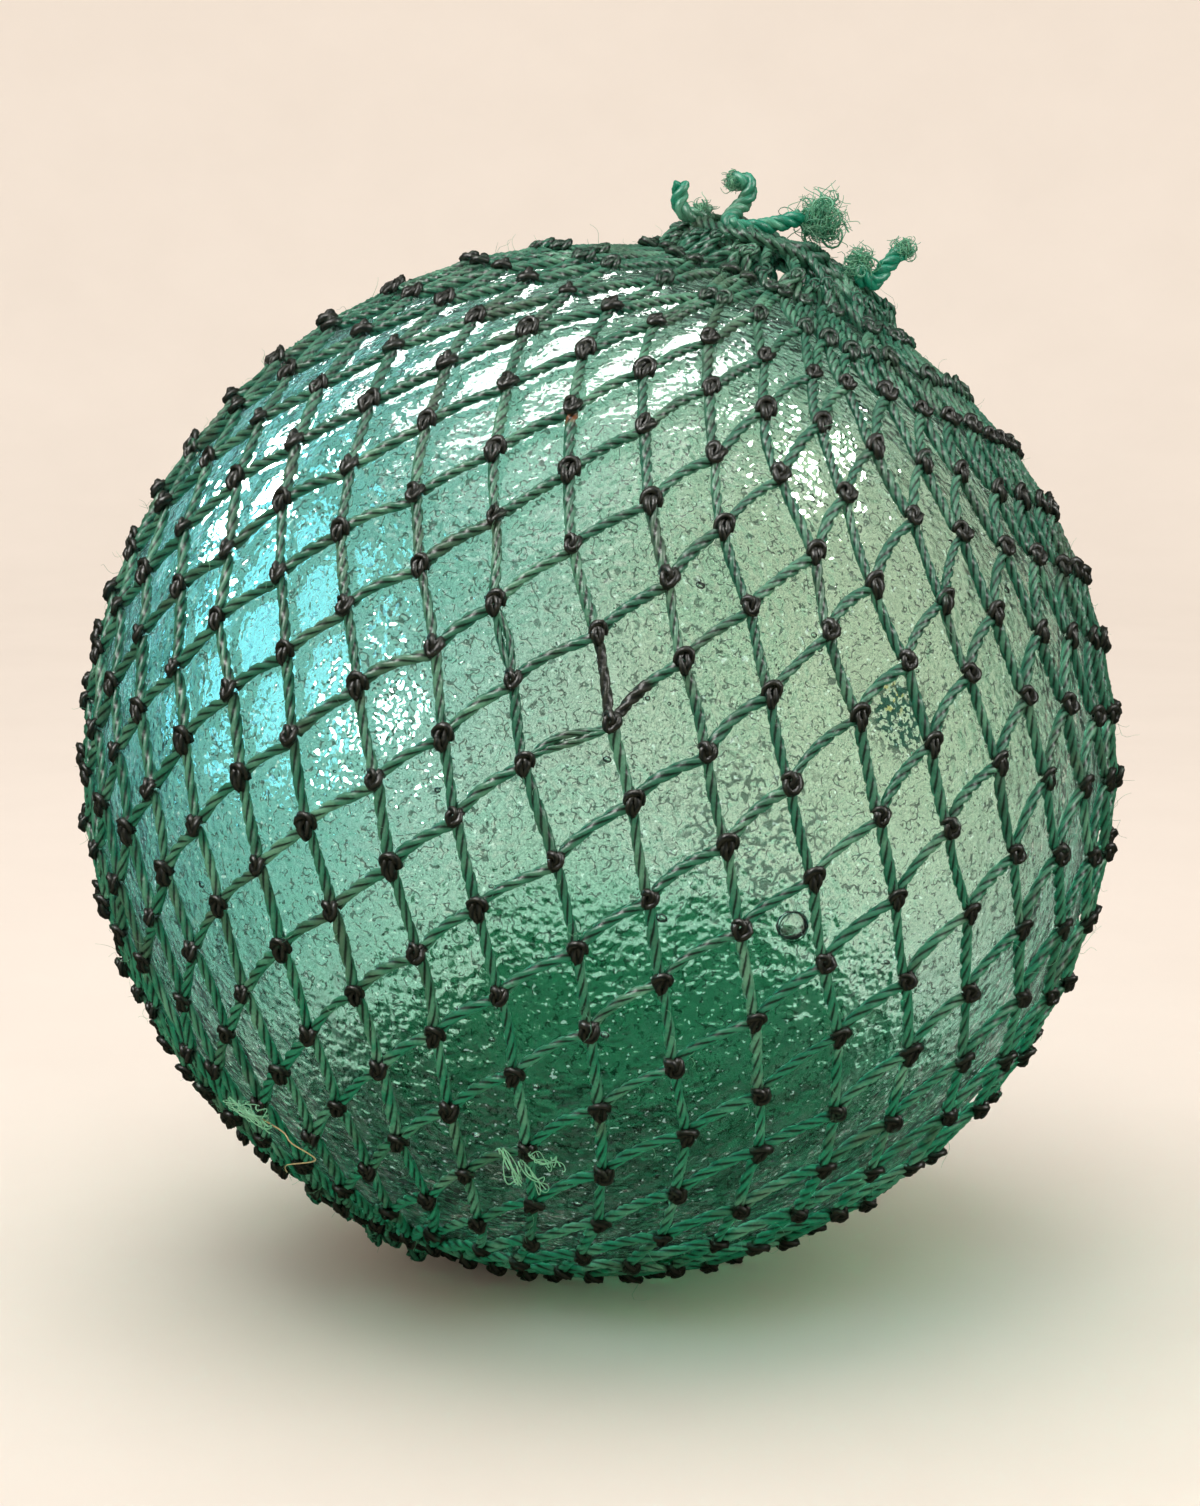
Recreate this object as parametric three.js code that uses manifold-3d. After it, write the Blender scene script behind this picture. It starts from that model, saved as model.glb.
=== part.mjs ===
// A glass fishing float in its knotted twine net, tied off at the crown with three short ropes.
// Millimetres, +Z up. The origin is on the floor, below the middle of the float; -Y is the front.
import * as THREE from "three";
import { mergeVertices } from "three/addons/utils/BufferGeometryUtils.js";
import Module from "manifold-3d";

// Glass
const GLASS_RADIUS = 150;
const GLASS_DETAIL = 5; // subdivisions of the icosahedron

// Net: rows of knots between the crown and the foot, in diamond meshes
const COLUMNS = 36; // knots in one row
const TOP_ROW = -9; // inside the gather at the crown
const BOTTOM_ROW = 10; // inside the gather at the foot
const NET_INNER_RADIUS = 151; // flats of the twine, just clear of the glass
const NET_OUTER_RADIUS = 156.4; // tops of the knots
const KNOT_HALF_WIDTH = 1.6;
const GATHER_HEIGHT = 9.5; // the meshes drawn together at the crown and the foot, above the glass
const GATHER_SIDES = 18;
const CROWN_RADIUS = 47;
const FOOT_RADIUS = 38;
const GATHER_LIFT = 2; // the last bars rise off the glass by this much as they run into a gather

// How the rows lie on the ball, in degrees
const EQUATOR_COLATITUDE = 84.9; // row 0
const ROW_PITCH = 6.62;
const POLE_STRETCH = 0.015; // rows spread by this times the cube of their number
const SLIP = 10; // the meshes are long on one side of the ball and short on the other
const SLIP_AZIMUTH = 47.7;
const COLUMN_AZIMUTH = 3; // the middle column at the equator
const TWIST = -9.5;
const FRONT_TWIST = 8.7;
const BUNCHING = -2.3;

// Stance
const POLE_TILT = 22; // the crown leans this many degrees towards +X
const FLAT_DEPTH = 2.4; // twine pressed flat where the float rests

// Ties at the crown, in the net's own upright frame, centred on the ball
const ROPE_RADIUS = 2.6;
const ROPE_SIDES = 6;
const CLEARANCE = 0.35;
const TIES = [
  {
    name: "tie_rope_left",
    route: [[-42, -3, 167], [-40, -4, 161], [-36, -5, 159.5], [-32, -3, 161]],
    frays: [{ at: [-32.5, -3, 161.5], radius: 4.2 }],
  },
  {
    name: "tie_rope_middle",
    route: [
      [-28, 1, 174], [-24, 0, 174.5], [-22.5, -1, 170], [-24.5, -5, 165],
      [-25, -11, 161.5], [-20, -9, 162], [-12, -5, 166.5], [-6, -3, 171],
    ],
    frays: [{ at: [-28.5, 1, 173.5], radius: 3.5 }, { at: [0, -1, 173], radius: 9 }],
  },
  {
    name: "tie_rope_right",
    route: [[14, -7, 165], [17, -8, 161.5], [21, -5, 162], [22.5, -3, 167], [25, -2, 173]],
    frays: [{ at: [14, -7, 166], radius: 5.5 }, { at: [25.5, -2, 174], radius: 4.2 }],
  },
];

const wasm = await Module();
wasm.setup();
const { degToRad } = THREE.MathUtils;

// A closed geometry as a manifold solid.
function solidFrom(geometry) {
  const plain = geometry.clone();
  plain.deleteAttribute("normal");
  plain.deleteAttribute("uv");
  const merged = mergeVertices(plain, 1e-4);
  return new wasm.Manifold(
    new wasm.Mesh({
      numProp: 3,
      vertProperties: merged.attributes.position.array,
      triVerts: new Uint32Array(merged.index.array),
    }),
  );
}

function geometryFrom(solid) {
  const mesh = solid.getMesh();
  const geometry = new THREE.BufferGeometry();
  geometry.setAttribute("position", new THREE.BufferAttribute(mesh.vertProperties, 3));
  geometry.setIndex(new THREE.BufferAttribute(mesh.triVerts, 1));
  geometry.computeVertexNormals();
  return geometry;
}

function union(solids) {
  return solids.reduce((joined, solid) => joined.add(solid));
}

// The net's upright frame has its crown on +Z. Colatitude is measured from the crown, and azimuth
// from the front towards +X, both in radians.
function onSphere(colatitude, azimuth, radius) {
  return new THREE.Vector3(
    Math.sin(colatitude) * Math.sin(azimuth),
    -Math.sin(colatitude) * Math.cos(azimuth),
    Math.cos(colatitude),
  ).multiplyScalar(radius);
}

// The direction of a knot from the middle of the ball. A row's knots are two half columns apart, and
// odd rows are shifted by one half column.
function knotDirection(row, halfColumn) {
  const turn = (Math.PI * halfColumn) / COLUMNS;
  const level = degToRad(EQUATOR_COLATITUDE + ROW_PITCH * row + POLE_STRETCH * row ** 3);
  const slip = degToRad(SLIP) * Math.cos(turn - degToRad(SLIP_AZIMUTH));
  const twist = degToRad(TWIST + FRONT_TWIST * Math.cos(turn)) * Math.cos(level);
  const bunching = degToRad(BUNCHING) * Math.cos(turn);
  return onSphere(
    level - slip * Math.sin(level) * Math.cos(level),
    turn + degToRad(COLUMN_AZIMUTH) + twist + bunching,
    1,
  );
}

// A knot is a small tetrahedron: its outer edge runs from upper left to lower right and its inner
// edge crosses it, so that each of its four faces is the end of one bar.
const CORNERS = ["outerDown", "outerUp", "innerLeft", "innerRight"];

function knotCorners(row, halfColumn) {
  const centre = knotDirection(row, halfColumn);
  const down = knotDirection(row + 1, halfColumn + 1)
    .add(knotDirection(row + 1, halfColumn - 1))
    .sub(knotDirection(row - 1, halfColumn + 1))
    .sub(knotDirection(row - 1, halfColumn - 1))
    .normalize();
  const right = centre.clone().cross(down);
  const lift = row === TOP_ROW || row === BOTTOM_ROW ? GATHER_LIFT : 0;
  const corner = (downShare, rightShare, radius) =>
    centre
      .clone()
      .multiplyScalar(radius)
      .addScaledVector(down, downShare * KNOT_HALF_WIDTH)
      .addScaledVector(right, rightShare * KNOT_HALF_WIDTH)
      .setLength(radius);
  return [
    corner(1, 1, NET_OUTER_RADIUS),
    corner(-1, -1, NET_OUTER_RADIUS),
    corner(1, -1, NET_INNER_RADIUS + lift),
    corner(-1, 1, NET_INNER_RADIUS + lift),
  ];
}

// The knots' corners joined into one closed lattice. A bar is a three-sided tube from a face of one
// knot to a face of the knot below it; the faces that hold no bar, at both ends, are closed.
function latticeGeometry() {
  const points = [];
  const faces = [];
  const corner = (row, halfColumn, name) => {
    const column = Math.floor((halfColumn + 2 * COLUMNS) / 2) % COLUMNS;
    const knot = (row - TOP_ROW) * COLUMNS + column;
    return knot * CORNERS.length + CORNERS.indexOf(name);
  };
  const face = (row, halfColumn, names) => names.map((name) => corner(row, halfColumn, name));
  const bar = (start, end) => {
    start.forEach((from, i) => {
      const next = (i + 1) % start.length;
      faces.push([from, start[next], end[next]], [from, end[next], end[i]]);
    });
  };
  for (let row = TOP_ROW; row <= BOTTOM_ROW; row += 1) {
    for (let halfColumn = row & 1; halfColumn < 2 * COLUMNS; halfColumn += 2) {
      points.push(...knotCorners(row, halfColumn));
      const lowerRight = face(row, halfColumn, ["outerDown", "innerLeft", "innerRight"]);
      const lowerLeft = face(row, halfColumn, ["outerDown", "outerUp", "innerLeft"]);
      if (row === TOP_ROW) {
        faces.push(face(row, halfColumn, ["outerUp", "innerRight", "innerLeft"]));
        faces.push(face(row, halfColumn, ["outerUp", "outerDown", "innerRight"]));
      }
      if (row === BOTTOM_ROW) {
        faces.push(lowerRight, lowerLeft);
        continue;
      }
      bar(lowerRight, face(row + 1, halfColumn + 1, ["outerUp", "innerLeft", "innerRight"]));
      bar(lowerLeft, face(row + 1, halfColumn - 1, ["outerDown", "outerUp", "innerRight"]));
    }
  }
  const geometry = new THREE.BufferGeometry().setFromPoints(points);
  return geometry.setIndex(faces.flat());
}

// A round cap over a pole of the ball: the meshes drawn together, as one closed lathe.
function gather(radius, clearance = 0) {
  const inner = NET_INNER_RADIUS;
  const outer = GLASS_RADIUS + GATHER_HEIGHT + clearance;
  const rim = Math.asin((radius + clearance) / inner);
  const point = (share, reach) =>
    new THREE.Vector2(reach * Math.sin(rim * share), reach * Math.cos(rim * share));
  const profile = [point(0, inner), point(0.5, inner), point(1, inner)];
  profile.push(point(0.97, outer - GATHER_LIFT), point(0.8, outer), point(0, outer));
  return new THREE.LatheGeometry(profile, GATHER_SIDES).rotateX(Math.PI / 2);
}

function netSolid() {
  const crown = gather(CROWN_RADIUS);
  const foot = gather(FOOT_RADIUS).rotateX(Math.PI);
  return union([latticeGeometry(), crown, foot].map(solidFrom));
}

function ropeGeometry(points) {
  const curve = new THREE.CatmullRomCurve3(points.map((p) => new THREE.Vector3(...p)));
  const section = new THREE.Shape(
    new THREE.EllipseCurve(0, 0, ROPE_RADIUS, ROPE_RADIUS).getPoints(ROPE_SIDES).slice(0, -1),
  );
  return new THREE.ExtrudeGeometry(section, { steps: 3 * points.length, extrudePath: curve });
}

function tieSolid({ route, frays }) {
  const tufts = frays.map(({ at, radius }) =>
    new THREE.IcosahedronGeometry(radius, 1).translate(...at),
  );
  const seat = gather(CROWN_RADIUS, CLEARANCE);
  return union([ropeGeometry(route), ...tufts].map(solidFrom)).subtract(solidFrom(seat));
}

function namedMesh(name, geometry, color, roughness) {
  const material = new THREE.MeshStandardMaterial({ color, roughness, metalness: 0 });
  const mesh = new THREE.Mesh(geometry, material);
  mesh.name = name;
  return mesh;
}

// From the net's upright frame, centred on the ball, to where the float stands.
const stance = new THREE.Matrix4()
  .makeTranslation(0, 0, NET_OUTER_RADIUS - FLAT_DEPTH)
  .multiply(new THREE.Matrix4().makeRotationY(degToRad(POLE_TILT)));

const float = new THREE.Group();

const glass = new THREE.IcosahedronGeometry(GLASS_RADIUS, GLASS_DETAIL).applyMatrix4(stance);
float.add(namedMesh("glass_ball", glass, 0x84c4a6, 0.08));

const floorSlab = new THREE.BoxGeometry(100, 100, 20).translate(0, 0, -10);
const standingNet = solidFrom(geometryFrom(netSolid()).applyMatrix4(stance));
const net = geometryFrom(standingNet.subtract(solidFrom(floorSlab)));
float.add(namedMesh("net", net, 0x3d7a62, 0.9));

for (const tie of TIES) {
  const geometry = geometryFrom(tieSolid(tie)).applyMatrix4(stance);
  float.add(namedMesh(tie.name, geometry, 0x3f8f74, 0.9));
}

// The origin goes below the middle of the whole float.
const middle = new THREE.Box3().setFromObject(float).getCenter(new THREE.Vector3());
float.position.set(-middle.x, -middle.y, 0);

export default float;
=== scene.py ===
"""Looks of a glass fishing float in its knotted net: seedy sea-green glass, three-strand twine with
dark knots, and laid ropes with frayed ends at the crown. Metres, +Z up, -Y is the front."""

import math

import bmesh
import bpy
import numpy as np
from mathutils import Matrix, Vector, noise


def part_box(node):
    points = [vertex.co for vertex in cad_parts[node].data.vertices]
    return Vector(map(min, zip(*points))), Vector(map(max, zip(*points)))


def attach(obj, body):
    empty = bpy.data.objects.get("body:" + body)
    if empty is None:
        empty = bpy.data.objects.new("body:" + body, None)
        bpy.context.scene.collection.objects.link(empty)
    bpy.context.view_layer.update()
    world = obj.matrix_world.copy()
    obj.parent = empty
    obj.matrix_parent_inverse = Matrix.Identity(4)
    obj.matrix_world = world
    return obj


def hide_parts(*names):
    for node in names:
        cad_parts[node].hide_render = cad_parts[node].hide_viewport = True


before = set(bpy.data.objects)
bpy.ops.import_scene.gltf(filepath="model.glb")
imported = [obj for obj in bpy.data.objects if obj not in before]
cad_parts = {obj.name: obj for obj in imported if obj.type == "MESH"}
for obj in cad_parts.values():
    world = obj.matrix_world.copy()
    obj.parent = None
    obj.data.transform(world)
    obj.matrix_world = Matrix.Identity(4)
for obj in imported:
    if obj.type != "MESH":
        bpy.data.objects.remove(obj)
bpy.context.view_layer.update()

MM = 0.001
TAU = 2 * math.pi
rng = np.random.default_rng(11)

# ---- driving sizes, from the frame
ball_low, ball_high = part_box("glass_ball")
CENTRE = np.array((ball_low + ball_high) / 2)
GLASS_RADIUS = (ball_high.x - ball_low.x) / 2
FLOOR = 0.2 * MM  # twine under the ball is pressed flat just above the floor

# Layout of the net, in its own upright frame with the crown on +Z (degrees; as in the CAD part)
COLUMNS = 36
TOP_ROW = -9
BOTTOM_ROW = 10
EQUATOR_COLATITUDE = 84.9
ROW_PITCH = 6.62
POLE_STRETCH = 0.015
SLIP = 10
SLIP_AZIMUTH = 47.7
COLUMN_AZIMUTH = 3
TWIST = -9.5
FRONT_TWIST = 8.7
BUNCHING = -2.3
POLE_TILT = 22
KNOT_JITTER = 0.35

# Twine
TWINE_RADIUS = 1.6 * MM
KNOT_LIFT = 2.9 * MM
RESTING_LIFT = 0.1 * MM  # of a bar's underside over the glass
LAY_LENGTH = 18 * MM
BAR_RINGS = 16
STRANDS = 3
TWINE_SECTION = (3, 0.62)  # points per strand, radius in the valleys
KNOT_SECTION = (2, 0.8)
ROPE_SECTION = (3, 0.86)

# Odd bars: row under the crown, column, steep or not
STAINED_BARS = ((7, 35, True), (7, 0, False))
SPLIT_BARS = ((7, 34, True), (8, 35, False))
RUSTY_BAR = (4, 33, True)
SPLIT_GAP = 1.2 * MM
SPLIT_SHARE = 0.66  # thickness of each half of a split bar

# Loose fibres
WHISKERS = 900
WHISKER_RADIUS = 0.075 * MM
FRAY_RADIUS = 0.2 * MM
FRAYS_PER_MM = 28  # fibres per millimetre of a frayed end's reach
YARN_RADIUS = 0.55 * MM
LOOP_RADIUS = 0.27 * MM
STRAW_RADIUS = 0.3 * MM
OFF_GLASS = 0.4 * MM
# Tangles: row under the crown, column, offset (right, up, out) in mm, reach (wide, tall), count
TANGLES = (
    (16, 32, (-4, -3, 1.5), (9 * MM, 3.5 * MM), 15),
    (16, 32, (1, 1, 1.5), (5 * MM, 4 * MM), 4),
    (14, 0, (-4, -5, 1.5), (3.5 * MM, 6.5 * MM), 8),
    (14, 0, (5, 0, 1.5), (5 * MM, 2.5 * MM), 6),
    (14, 0, (2, -8, 1.5), (4.5 * MM, 5 * MM), 4),
)
# The straw: row under the crown, column, offset
STRAW = (
    (16, 32, (0, -4, 2)), (16, 32, (9, -5, 2.5)), (16, 33, (-4, 1, 4.5)), (16, 33, (1, -6, 3)),
    (17, 33, (-1, 5, 4)), (17, 33, (-4, -1, 4)), (17, 33, (-9, -6, 2)),
)

# Crown and foot of the net, where it is drawn together: each further row's share of the last row's
# width, and its height over the ball's centre, from the outside in
CROWN_ROWS = ((0.84, 155.0 * MM),)
FOOT_ROWS = ((0.72, 152.5 * MM), (0.42, 154.5 * MM))
GATHER_JITTER = 1.5 * MM
CROWN_SHIFT = -9 * MM  # the gather sits a little towards the left of the net's axis
HOLE_RADIUS = 4 * MM
CROWN_HOLE = 158.5 * MM
FOOT_HOLE = 153.5 * MM
# Draw cords: radius of the coil, height, turns, rise over the coil
CROWN_COILS = ((23 * MM, 159 * MM, 1.7, 1.5 * MM), (13 * MM, 161 * MM, 2.3, 2 * MM))
FOOT_COILS = ((14 * MM, -155.5 * MM, 1.2, -0.5 * MM),)
LEG_RINGS = 12

# Ties at the crown: routes and frayed ends (point, reach), millimetres in the net's upright frame
TIES = {
    "tie_rope_left": {
        "route": [(-42, -3, 167), (-40, -4, 161), (-36, -5, 159.5), (-32, -3, 161)],
        "frays": [((-32.5, -3, 161.5), 4.2)],
    },
    "tie_rope_middle": {
        "route": [
            (-28, 1, 174), (-24, 0, 174.5), (-22.5, -1, 170), (-24.5, -5, 165),
            (-25, -11, 161.5), (-20, -9, 162), (-12, -5, 166.5), (-6, -3, 171),
        ],
        "frays": [((-28.5, 1, 173.5), 3.5), ((0, -1, 173), 9)],
    },
    "tie_rope_right": {
        "route": [(14, -7, 165), (17, -8, 161.5), (21, -5, 162), (22.5, -3, 167), (25, -2, 173)],
        "frays": [((14, -7, 166), 5.5), ((25.5, -2, 174), 4.2)],
    },
}
ROPE_RADIUS = 2.6 * MM

# Glass
WALL = 4.5 * MM
SKIN_INSET = 0.5 * MM
OUTER_FACETS = 7  # icosphere subdivisions
INNER_FACETS = 5
OUTER_RELIEF = 0.35 * MM
INNER_RELIEF = 0.5 * MM
BOTTOM_GROWTH = (5, 3.5)  # mm the bottom is thicker by, and how far that wavers
SEEDS = 320
SEED_FACETS = 2
SEED_FLATNESS = 0.3 * WALL
BUBBLE_DIRECTION = (0.337, -0.93, -0.137)
BUBBLE_RADIUS = 4.1 * MM
BUBBLE_RIM = 0.2 * MM


# ---- vectors, curves and meshes
def unit(v):
    return v / np.maximum(np.linalg.norm(v, axis=-1, keepdims=True), 1e-12)


def dot(a, b):
    return (a * b).sum(-1, keepdims=True)


def smoothstep(low, high, x):
    t = np.clip((x - low) / (high - low), 0, 1)
    return t * t * (3 - 2 * t)


def to_world(points):
    """From the net's upright frame, centred on the ball, to the row frame."""
    tilt = math.radians(POLE_TILT)
    turn = np.array([
        [math.cos(tilt), 0, math.sin(tilt)],
        [0, 1, 0],
        [-math.sin(tilt), 0, math.cos(tilt)],
    ])
    return points @ turn.T + CENTRE


def catmull(points, count):
    """count points evenly spaced along a smooth curve through the given ones."""
    p = np.asarray(points, float)
    p = np.concatenate([2 * p[:1] - p[1:2], p, 2 * p[-1:] - p[-2:-1]])
    t = np.linspace(0, 1, 12, endpoint=False)[:, None]
    curve = [
        0.5 * (2 * b + (c - a) * t + (2 * a - 5 * b + 4 * c - d) * t**2 + (3 * b - a - 3 * c + d) * t**3)
        for a, b, c, d in zip(p, p[1:], p[2:], p[3:])
    ]
    curve = np.concatenate(curve + [p[-2:-1]])
    length = np.concatenate([[0], np.cumsum(np.linalg.norm(np.diff(curve, axis=0), axis=1))])
    at = np.linspace(0, length[-1], count)
    return np.stack([np.interp(at, length, curve[:, i]) for i in range(3)], axis=1)


def new_object(name, data):
    made = bpy.data.objects.new(name, data)
    bpy.context.scene.collection.objects.link(made)
    return made


def icosphere(subdivisions):
    """Points on a unit sphere, and its triangles."""
    shape = bmesh.new()
    bmesh.ops.create_icosphere(shape, subdivisions=subdivisions, radius=1.0)
    points = np.array([v.co[:] for v in shape.verts])
    triangles = np.array([[v.index for v in f.verts] for f in shape.faces])
    shape.free()
    return points, triangles


class MeshParts:
    """Collects vertices, faces and vertex values, and makes them one object."""

    def __init__(self):
        self.vertices, self.faces, self.values, self.count = [], [], {}, 0

    def add(self, vertices, faces, **values):
        vertices = vertices.reshape(-1, 3)
        for block in faces:
            self.faces.append(block.reshape(-1, block.shape[-1]) + self.count)
        for name, value in values.items():
            flat = np.broadcast_to(value, vertices.shape[:1]) if np.ndim(value) == 0 else value.reshape(-1)
            self.values.setdefault(name, []).append((self.count, flat))
        self.vertices.append(vertices)
        self.count += len(vertices)

    def value(self, name):
        """One vertex value for the whole piece, zero where it wasn't given."""
        whole = np.zeros(self.count, np.float32)
        for start, flat in self.values[name]:
            whole[start:start + len(flat)] = flat
        return whole

    def make(self, name, material, floor=True):
        points = np.concatenate(self.vertices)
        if floor:
            points[:, 2] = np.maximum(points[:, 2], FLOOR)
        mesh = bpy.data.meshes.new(name)
        faces = [tuple(face) for block in self.faces for face in block.tolist()]
        mesh.from_pydata(points.tolist(), [], faces)
        for key in self.values:
            attribute = mesh.attributes.new(key, "FLOAT", "POINT")
            attribute.data.foreach_set("value", self.value(key))
        mesh.polygons.foreach_set("use_smooth", np.ones(len(mesh.polygons), bool))
        mesh.materials.append(material)
        mesh.update()
        return new_object(name, mesh)


def tube_faces(tubes, rings, sides):
    """Side quads and end polygons of a batch of tubes whose vertices run ring by ring."""
    ring, side = np.meshgrid(np.arange(rings - 1), np.arange(sides), indexing="ij")
    after = (side + 1) % sides
    low, high = ring * sides, (ring + 1) * sides
    quads = np.stack([low + side, low + after, high + after, high + side], -1).reshape(-1, 4)
    ends = np.stack([np.arange(sides)[::-1], np.arange(sides) + (rings - 1) * sides])
    base = (np.arange(tubes) * rings * sides)[:, None, None]
    return [quads[None] + base, ends[None] + base]


def round_section(sides):
    return np.arange(sides) * TAU / sides, np.ones(sides), np.zeros(sides)


def section(points_per_strand, valley):
    """Angles, radii and depths of a laid twine's section: each strand has a valley and a round back."""
    share = np.arange(points_per_strand) / points_per_strand
    angle = (np.arange(STRANDS)[:, None] + share[None]).reshape(-1) * TAU / STRANDS
    depth = np.tile((share == 0).astype(float), STRANDS)
    return angle, 1 - (1 - valley) * depth, depth


def sweep(paths, outward, radius, shape, lay=None, phase=0.0, width=None):
    """Tubes along a batch of paths. Returns vertices, faces and each vertex's groove depth."""
    angle, reach, depth = shape
    tubes, rings = paths.shape[:2]
    tangent = unit(np.gradient(paths, axis=1))
    normal = unit(outward - dot(outward, tangent) * tangent)
    side = np.cross(tangent, normal)
    step = np.linalg.norm(np.diff(paths, axis=1), axis=-1)
    along = np.concatenate([np.zeros((tubes, 1)), np.cumsum(step, axis=1)], axis=1)
    turn = angle[None, None, :] + np.reshape(phase, (-1, 1, 1))
    if lay is not None:
        turn = turn + (TAU * along / np.reshape(lay, (-1, 1)))[:, :, None]
    size = np.reshape(radius, (-1, 1, 1)) * np.ones((tubes, rings, 1)) * reach
    if width is not None:
        size = size * width[..., None]
    ring = np.cos(turn)[..., None] * normal[:, :, None] + np.sin(turn)[..., None] * side[:, :, None]
    points = paths[:, :, None] + size[..., None] * ring
    groove = np.broadcast_to(depth, (tubes, rings, len(depth)))
    return points, tube_faces(tubes, rings, len(depth)), groove


def add_tubes(parts, paths, outward, radius, shape, lay=None, phase=0.0, width=None, groove_shade=1.0, **values):
    """Sweeps tubes and adds them to parts; the values are one for all, or per tube and ring."""
    points, faces, groove = sweep(paths, outward, radius, shape, lay, phase, width)
    values = {name: np.broadcast_to(value, groove.shape) for name, value in values.items()}
    # groove_shade sets how dark the painted shade in the strands' valleys is
    parts.add(points, faces, groove=groove_shade * groove, **values)


# ---- the net's layout
def knot_direction(row, half_column):
    """Unit vector to a knot, in the upright frame; half_column has the parity of row."""
    turn = np.pi * half_column / COLUMNS
    level = np.radians(EQUATOR_COLATITUDE + ROW_PITCH * row + POLE_STRETCH * row**3)
    slip = math.radians(SLIP) * np.cos(turn - math.radians(SLIP_AZIMUTH))
    twist = np.radians(TWIST + FRONT_TWIST * np.cos(turn)) * np.cos(level)
    bunching = math.radians(BUNCHING) * np.cos(turn)
    colatitude = level - slip * np.sin(level) * np.cos(level)
    azimuth = turn + math.radians(COLUMN_AZIMUTH) + twist + bunching
    out = np.sin(colatitude)
    return np.stack([out * np.sin(azimuth), -out * np.cos(azimuth), np.cos(colatitude)], -1)


class Knots:
    """Places and axes (right, up, out) of every knot, by row and column."""

    def __init__(self):
        rows = np.arange(TOP_ROW - 1, BOTTOM_ROW + 2)
        parity = rows % 2
        half = 2 * np.arange(COLUMNS)[None] + parity[:, None]
        grid = np.broadcast_to(rows[:, None], half.shape).astype(float)
        direction = knot_direction(grid, half)
        loose = KNOT_JITTER + np.where(rows < TOP_ROW + 2, 0.5, 0.0)[:, None, None]
        direction = unit(direction + rng.normal(0, 1, direction.shape) * np.radians(loose))
        direction = to_world(direction) - CENTRE
        column = np.arange(COLUMNS)
        self.parity = parity[1:-1]
        self.out = direction[1:-1]
        steep, mean = [], []
        for i in range(1, len(rows) - 1):
            p = parity[i]
            left, right = (column + p - 1) % COLUMNS, (column + p) % COLUMNS
            above, below = direction[i - 1], direction[i + 1]
            steep.append(unit(above[left] - below[right]))
            mean.append(unit(above[left] + above[right] - below[left] - below[right]))
        up = 0.7 * np.array(steep) + 0.3 * np.array(mean)
        self.up = unit(up - dot(up, self.out) * self.out)
        self.place = CENTRE + self.out * (GLASS_RADIUS + KNOT_LIFT)
        self.crown = len(CROWN_ROWS)
        for share, height in CROWN_ROWS:
            self.gather(TOP_ROW, share, height, 1)
        for share, height in FOOT_ROWS:
            self.gather(BOTTOM_ROW, share, height, -1)
        self.right = np.cross(self.up, self.out)

    def gather(self, last_row, share, height, side):
        """Adds a row drawn in towards the crown (side 1) or the foot (side -1)."""
        parity = 1 - (self.parity[0] if side > 0 else self.parity[-1])
        flat = knot_direction(np.full(COLUMNS, float(last_row)), 2 * np.arange(COLUMNS) + parity)
        spot = flat * GLASS_RADIUS * share
        spot[:, 2] = side * height
        if side > 0:
            spot[:, 0] += CROWN_SHIFT * (1 - share)
        spot += rng.normal(0, GATHER_JITTER, spot.shape)
        inward = -unit(flat * (1, 1, 0))
        out = unit(np.array((0, 0, side)) - 0.45 * share * inward)
        up = unit(side * (inward - dot(inward, out) * out))
        place, out, up = to_world(spot), to_world(out) - CENTRE, to_world(up) - CENTRE
        self.place, self.out, self.up, self.parity = (
            np.concatenate([new[None], old] if side > 0 else [old, new[None]])
            for old, new in (
                (self.place, place), (self.out, out), (self.up, up), (self.parity, np.array(parity)),
            )
        )

    def soak(self, row):
        """How dark the tarred knots of a row are; the gathered rows are paler."""
        if row < self.crown + 2:
            return 0.5 if row < self.crown else 0.7
        return 0.6 if row >= len(self.place) - len(FOOT_ROWS) else 1.0

    def point(self, row, column, offset):
        """World point at a local offset (right, up, out) from the chosen knots."""
        return self.place[row, column] + self.vector(row, column, offset)

    def axes(self, row, column):
        return self.right[row, column], self.up[row, column], self.out[row, column]

    def vector(self, row, column, offset):
        """World vector from its components along the chosen knots' axes."""
        return sum(part * axis for part, axis in zip(offset, self.axes(row, column)))


# ---- knots
# Paths of the twine through a knot, in millimetres (right, up, out). Rows are worked from alternate
# sides, so even rows show the face of the sheet bend and odd rows its back.
KNOT_FACE = [
    [(-2.2, -0.7, -0.6), (-2.5, 1.0, 0.6), (-1.6, 2.5, 1.5), (0.2, 3.1, 1.9), (1.8, 2.4, 1.5),
     (2.5, 0.9, 0.6), (2.2, -0.8, -0.6)],
    [(-0.4, 1.9, 0.6), (-1.1, 0.5, 1.3), (-1.2, -1.4, 1.5), (-0.8, -3.0, 1.0), (-0.2, -4.0, -0.1)],
    [(0.6, 1.9, 0.5), (0.9, 0.4, 1.1), (0.9, -1.3, 1.1), (0.6, -2.8, 0.6), (0.3, -3.7, -0.2)],
]
KNOT_BACK = [
    [(-1.2, 1.8, 0.2), (-2.0, 0.5, 0.9), (-1.8, -1.3, 1.2), (-0.9, -2.7, 1.2), (0.5, -1.9, 1.7),
     (1.6, -0.6, 1.8), (2.2, 0.9, 1.2), (1.8, 2.3, 0.1)],
    [(-2.0, 1.4, -0.3), (-1.7, 2.6, 0.8), (-0.5, 2.8, 1.6), (0.3, 1.7, 1.9), (0.3, 0.4, 1.6),
     (-0.3, -1.0, 0.9)],
    [(1.7, 2.6, 0.2), (1.0, 1.3, 1.2), (0.1, 0.0, 0.8), (-0.7, -1.2, 0.8)],
]
KNOT_TWINE = 1.3 * MM
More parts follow.
